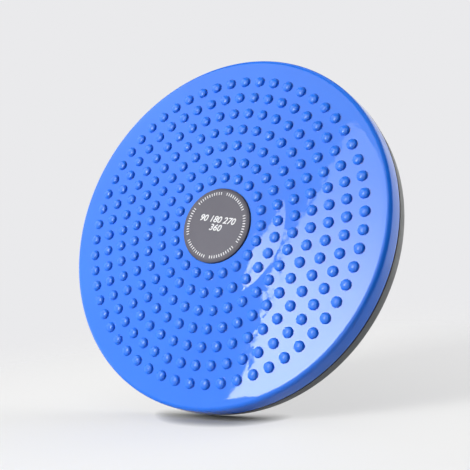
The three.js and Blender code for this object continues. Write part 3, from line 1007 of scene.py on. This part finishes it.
def hexagon_rows(bottom, top, chamfer_bottom):
    """Rows of points round a hexagon whose corners are turned down at its top, or at both ends."""
    flat = HEAD_ACROSS_FLATS / 2
    disc = flat * HEAD_DISC_SHARE
    rows = []

    def row(radius_at, level_at):
        points = []
        for i in range(BOLT_SEGMENTS):
            angle = i / BOLT_SEGMENTS * math.tau
            corner = flat / math.cos((angle + math.pi / 6) % (math.pi / 3) - math.pi / 6)
            points.append(polar(radius_at(corner), angle, level_at(corner)))
        rows.append(points)

    slope = math.tan(HEAD_CHAMFER)
    if chamfer_bottom:
        row(lambda corner: disc, lambda corner: bottom)
        row(lambda corner: corner, lambda corner: bottom + (corner - disc) * slope)
    else:
        row(lambda corner: corner, lambda corner: bottom)
    row(lambda corner: corner, lambda corner: top - (corner - disc) * slope)
    row(lambda corner: disc, lambda corner: top)
    return rows


def bolt():
    under_head = WASHER_LEVEL + WASHER_THICKNESS
    end = NUT_TOP - NUT_HEIGHT - THREAD_STAND_OUT
    thread_top = end + THREAD_LENGTH
    core = BOLT_RADIUS - THREAD_DEPTH
    rows = []
    for level in (under_head, thread_top + THREAD_PITCH):
        rows.append(ring_row(BOLT_RADIUS, level, BOLT_SEGMENTS))
    turns = int(THREAD_LENGTH / THREAD_PITCH) - 1
    for k in range(turns * THREAD_STEPS + 1):
        sunk = k / THREAD_STEPS
        radius = BOLT_RADIUS - THREAD_DEPTH * (1 - abs(2 * (sunk % 1) - 1))
        shares = [i / BOLT_SEGMENTS for i in range(BOLT_SEGMENTS)]
        rows.append([
            polar(radius, share * math.tau, thread_top - THREAD_PITCH * (sunk + share))
            for share in shares
        ])
    rows.append(ring_row(core, end + END_CHAMFER, BOLT_SEGMENTS))
    rows.append(ring_row(core - END_CHAMFER, end, BOLT_SEGMENTS))
    shank = Shape().add(*skin(rows))
    shank.add(rows[-1], [tuple(range(BOLT_SEGMENTS))])
    head = hexagon_rows(under_head, under_head + HEAD_HEIGHT, chamfer_bottom=False)
    shank.add(*skin([rows[0], *head]))
    shank.add(head[-1], [tuple(range(BOLT_SEGMENTS))])
    return shank.mesh("bolt")


def nut():
    bottom = NUT_TOP - NUT_HEIGHT
    rows = hexagon_rows(bottom, NUT_TOP, chamfer_bottom=True)
    for radius, level in (
        (BOLT_BORE + END_CHAMFER, NUT_TOP),
        (BOLT_BORE, NUT_TOP - END_CHAMFER),
        (BOLT_BORE, bottom + END_CHAMFER),
        (BOLT_BORE + END_CHAMFER, bottom),
    ):
        rows.append(ring_row(radius, level, BOLT_SEGMENTS))
    return Shape().add(*skin(rows, closed=True)).mesh("nut")


def fasteners():
    piece("pivot_sleeve_tube", sleeve(), BASE_BODY, "zinc_steel", ["pivot_sleeve"])
    piece("upper_washer_ring", washer(WASHER_LEVEL), BASE_BODY, "zinc_steel", ["upper_washer"])
    piece("lower_washer_ring", washer(NUT_TOP), BASE_BODY, "zinc_steel", ["lower_washer"])
    piece("centre_bolt_threaded", bolt(), BASE_BODY, "zinc_steel", ["centre_bolt"])
    piece("lock_nut_hexagon", nut(), BASE_BODY, "zinc_steel", ["lock_nut"])


# Stage: camera, light and the pale floor on which the disc stands on its edge

CAMERA_PLACE = (0.2735956, -0.2493022, 0.5154218)
CAMERA_TURN = (19.58525, 30.82484, -7.65280)
CAMERA_LENS = 68.87
CAMERA_SENSOR = 36.0
CAMERA_CLIP = (0.01, 50.0)
DISC_MIDDLE = Vector((0, 0, 0.02))

PALE = linear(234, 234, 236)
WHITE = (1, 1, 1, 1)
CARD_BLACK = (0.01, 0.01, 0.01, 1)
WORLD_LIGHT = 0.07

FLOOR_NORMAL = Vector((0.23, 0.894, 0.377)).normalized()
FLOOR_POINT = Vector((-0.0308, -0.1199, 0.0015))
FLOOR_RINGS = [(1600, 0), (400, 0), (0, 0)]
FLOOR_COLOUR = (0.50, 0.50, 0.51, 1)  # as the light on the object meets it
FLOOR_SHOWN = (1.04, 1.04, 1.0, 1)  # as the camera sees it
FLOOR_IN_GLOSS = 0.2
FLOOR_GLOW = 0.62
FLOOR_ROUGHNESS = 0.9
FLOOR_SPECULAR = 0.2
# Reach and depth of painted shade on the floor, made by ambient occlusion
SHADE_REACH, SHADE_DEPTH = 0.011, 1.8  # of the shade under the disc's edge
FLOOR_FADE = (0.12, 0.55)

# Direction by the camera's right, up and back, then distance, side and power of each lamp
LAMPS = {
    "key_lamp": ((-0.91, 0.27, 0.31), 2.0, 0.8, 44),
    "top_lamp": ((-0.1, 1.0, -0.1), 2.5, 3.0, 22),
    "fill_lamp": ((0.80, 0.55, 0.08), 2.0, 1.0, 20),
}

SOFT_BOX_HEIGHT = 3.0  # over the pads, and the unit of the box's other sizes and of its fade
SOFT_BOX_TURN = math.radians(47.66)
SOFT_BOX_FROM, SOFT_BOX_TO, SOFT_BOX_BACK = -0.24, 0.26, 0.29
SOFT_BOX_EDGE = (0.5352, 0.0957, 0.80)
SOFT_BOX_STEPS = 24
SOFT_BOX_FADE = (-0.15, 0.25)
SOFT_BOX_STRENGTH = (11.6, 4.0)

WALL_DISTANCE = 4.5
WALL_STEPS = 24
# Two bearings from the camera and two elevations, in degrees
PALE_WALL = (-118, -29, -14, 48)
PALE_WALL_FADE = (1.0, 3.4)  # metres along the camera's up
PALE_WALL_STRENGTH = (1.3, 2.1)
# The same, then strength
WALLS = {
    "bright_wall": (-20, -6, -14, 48, 2.3),
    "dark_wall": (-6, 100, -55, 60, 0.0),
    "side_wall": (100, 150, -25, 48, 1.1),
    "dark_top": (150, 232, 34, 60, 0.1),
    "dark_ceiling": (-130, 150, 50, 84, 0.2),
    "dark_low": (-118, -12, -60, -16, 0.15),
}


def camera():
    data = bpy.data.cameras.new("camera")
    data.sensor_width = CAMERA_SENSOR
    data.lens = CAMERA_LENS
    data.clip_start, data.clip_end = CAMERA_CLIP
    obj = bpy.data.objects.new("camera", data)
    obj.location = CAMERA_PLACE
    obj.rotation_euler = [math.radians(angle) for angle in CAMERA_TURN]
    bpy.context.scene.collection.objects.link(obj)
    bpy.context.scene.camera = obj


def from_camera(right, up, back):
    """A direction given by the camera's own right, up and towards it."""
    turn = bpy.context.scene.camera.rotation_euler.to_matrix()
    return (turn @ Vector((right, up, back))).normalized()


def seen_ray(tree, in_gloss=1.0):
    """1 for camera rays and rays through glass, a share for mirrors, 0 for light on the disc."""
    path = tree.nodes.new("ShaderNodeLightPath").outputs
    gloss = calculate(tree, "MULTIPLY", path["Is Glossy Ray"], in_gloss)
    seen = calculate(tree, "MAXIMUM", path["Is Camera Ray"], gloss)
    return calculate(tree, "MAXIMUM", seen, path["Is Transmission Ray"])


def shader_mix(tree, share, first, second):
    return add_node(tree, "ShaderNodeMixShader", {0: share, 1: first, 2: second})


def world():
    """A pale surround, plainer on the object than it looks."""
    surround = bpy.data.worlds.new("surround")
    bpy.context.scene.world = surround
    surround.use_nodes = True
    tree = surround.node_tree
    shown = tree.nodes["Background"]
    shown.inputs["Color"].default_value = PALE
    lighting = add_node(tree, "ShaderNodeBackground", {"Color": WHITE, "Strength": WORLD_LIGHT})
    surface = shader_mix(tree, seen_ray(tree), lighting, shown.outputs[0])
    tree.links.new(surface, tree.nodes["World Output"].inputs["Surface"])


def floor():
    """A pale plane under the disc's lower edge, with painted shade there, fading into the surround,
    clear from behind.
    """
    side = Vector((0, 0, 1)).cross(FLOOR_NORMAL).normalized()
    turn = Matrix((side, FLOOR_NORMAL.cross(side), FLOOR_NORMAL)).transposed().to_4x4()
    plane = Shape().add(*lathe(FLOOR_RINGS, PLATE_SEGMENTS, closed=False))
    obj = bpy.data.objects.new("pale_floor", plane.mesh("pale_floor", outwards=False))
    obj.matrix_world = Matrix.Translation(FLOOR_POINT) @ turn
    bpy.context.scene.collection.objects.link(obj)
    material = bpy.data.materials.new("pale_paper")
    material.use_nodes = True
    tree = material.node_tree
    paper = tree.nodes["Principled BSDF"]
    seen = seen_ray(tree, FLOOR_IN_GLOSS)
    tree.links.new(mixed(tree, seen, FLOOR_COLOUR, FLOOR_SHOWN), paper.inputs["Base Color"])
    paper.inputs["Roughness"].default_value = FLOOR_ROUGHNESS
    paper.inputs["Specular IOR Level"].default_value = FLOOR_SPECULAR
    # painted shade: ambient occlusion dims the floor's glow under the disc's edge
    open_sky = add_node(tree, "ShaderNodeAmbientOcclusion", {"Distance": SHADE_REACH}, "AO")
    shine = calculate(tree, "POWER", open_sky, SHADE_DEPTH)
    glow = add_node(tree, "ShaderNodeEmission", {"Color": PALE, "Strength": shine})
    lit = shader_mix(tree, calculate(tree, "MULTIPLY", seen, FLOOR_GLOW), paper.outputs[0], glow)
    far = spread(tree, distance(tree), *FLOOR_FADE, 0, 1, "SMOOTHSTEP")
    behind = add_node(tree, "ShaderNodeNewGeometry", output="Backfacing")
    hidden = calculate(tree, "MAXIMUM", far, behind)
    surface = shader_mix(tree, hidden, lit, add_node(tree, "ShaderNodeBsdfTransparent"))
    tree.links.new(surface, tree.nodes["Material Output"].inputs["Surface"])
    obj.data.materials.append(material)


def lamp(name, direction, away, side, power):
    """A square soft lamp that looks at the disc and that reflections don't show."""
    data = bpy.data.lights.new(name, "AREA")
    data.size = side
    data.energy = power
    obj = bpy.data.objects.new(name, data)
    back = from_camera(*direction)
    across = Vector((0, 0, 1)).cross(back).normalized()
    turn = Matrix((across, back.cross(across), back)).transposed()
    obj.matrix_world = Matrix.Translation(DISC_MIDDLE + back * away) @ turn.to_4x4()
    obj.visible_camera = False
    obj.visible_glossy = False
    bpy.context.scene.collection.objects.link(obj)


def card(name, points, faces, strength=0.0):
    """A card that only reflections see, black or shining, as beside a glossy thing in a studio."""
    mesh = bpy.data.meshes.new(name)
    mesh.from_pydata([tuple(p) for p in points], [], faces)
    obj = bpy.data.objects.new(name, mesh)
    obj.visible_camera = False
    obj.visible_diffuse = False
    obj.visible_shadow = False
    obj.visible_transmission = False
    material = bpy.data.materials.new(name)
    material.use_nodes = True
    surface = material.node_tree.nodes["Principled BSDF"]
    surface.inputs["Base Color"].default_value = CARD_BLACK
    surface.inputs["Emission Color"].default_value = WHITE
    surface.inputs["Emission Strength"].default_value = strength
    mesh.materials.append(material)
    bpy.context.scene.collection.objects.link(obj)
    return obj


def strip_faces(steps):
    """Faces along points that come in pairs."""
    return [(2 * i, 2 * i + 2, 2 * i + 3, 2 * i + 1) for i in range(steps)]


def wall_card(name, start, end, low, high, strength=0.0):
    """A curved card round the disc between two bearings from the camera and two elevations."""
    points = []
    for i in range(WALL_STEPS + 1):
        bearing = math.radians(start + (end - start) * i / WALL_STEPS)
        for elevation in (low, high):
            rise = math.tan(math.radians(elevation))
            ahead = Vector((math.sin(bearing), rise, math.cos(bearing)))
            points.append(DISC_MIDDLE + from_camera(*ahead) * ahead.length * WALL_DISTANCE)
    return card(name, points, strip_faces(WALL_STEPS), strength)


def fade_card(panel, along, places, strengths):
    """Makes a card's shine change smoothly between two places along a direction."""
    tree = panel.data.materials[0].node_tree
    inputs = {0: object_place(tree), 1: along}
    level = add_node(tree, "ShaderNodeVectorMath", inputs, "Value", operation="DOT_PRODUCT")
    shine = spread(tree, level, *places, *strengths, "SMOOTHSTEP")
    tree.links.new(shine, tree.nodes["Principled BSDF"].inputs["Emission Strength"])


def soft_box():
    """A shining panel overhead, weaker at one end, whose slightly bowed edge shows in the gloss."""
    points = []
    for i in range(SOFT_BOX_STEPS + 1):
        x = SOFT_BOX_FROM + (SOFT_BOX_TO - SOFT_BOX_FROM) * i / SOFT_BOX_STEPS
        edge = SOFT_BOX_EDGE[0] + SOFT_BOX_EDGE[1] * x + SOFT_BOX_EDGE[2] * x * x
        points += [(x * SOFT_BOX_HEIGHT, y * SOFT_BOX_HEIGHT, 0) for y in (edge, SOFT_BOX_BACK)]
    panel = card("soft_box", points, strip_faces(SOFT_BOX_STEPS))
    turn = Matrix.Rotation(SOFT_BOX_TURN, 4, "Z")
    panel.matrix_world = turn @ Matrix.Translation((0, 0, SOFT_BOX_HEIGHT))
    places = [share * SOFT_BOX_HEIGHT for share in SOFT_BOX_FADE]
    fade_card(panel, (1, 0, 0), places, SOFT_BOX_STRENGTH)


def lights():
    for name, settings in LAMPS.items():
        lamp(name, *settings)
    soft_box()
    pale = wall_card("pale_wall", *PALE_WALL)
    fade_card(pale, from_camera(0, 1, 0), PALE_WALL_FADE, PALE_WALL_STRENGTH)
    for name, settings in WALLS.items():
        wall_card(name, *settings)


top_plate()
centre_cap()
base_plate()
rubber_pads()
bearing()
fasteners()
camera()
world()
floor()
lights()

scene = bpy.context.scene
scene.view_settings.view_transform = "Standard"
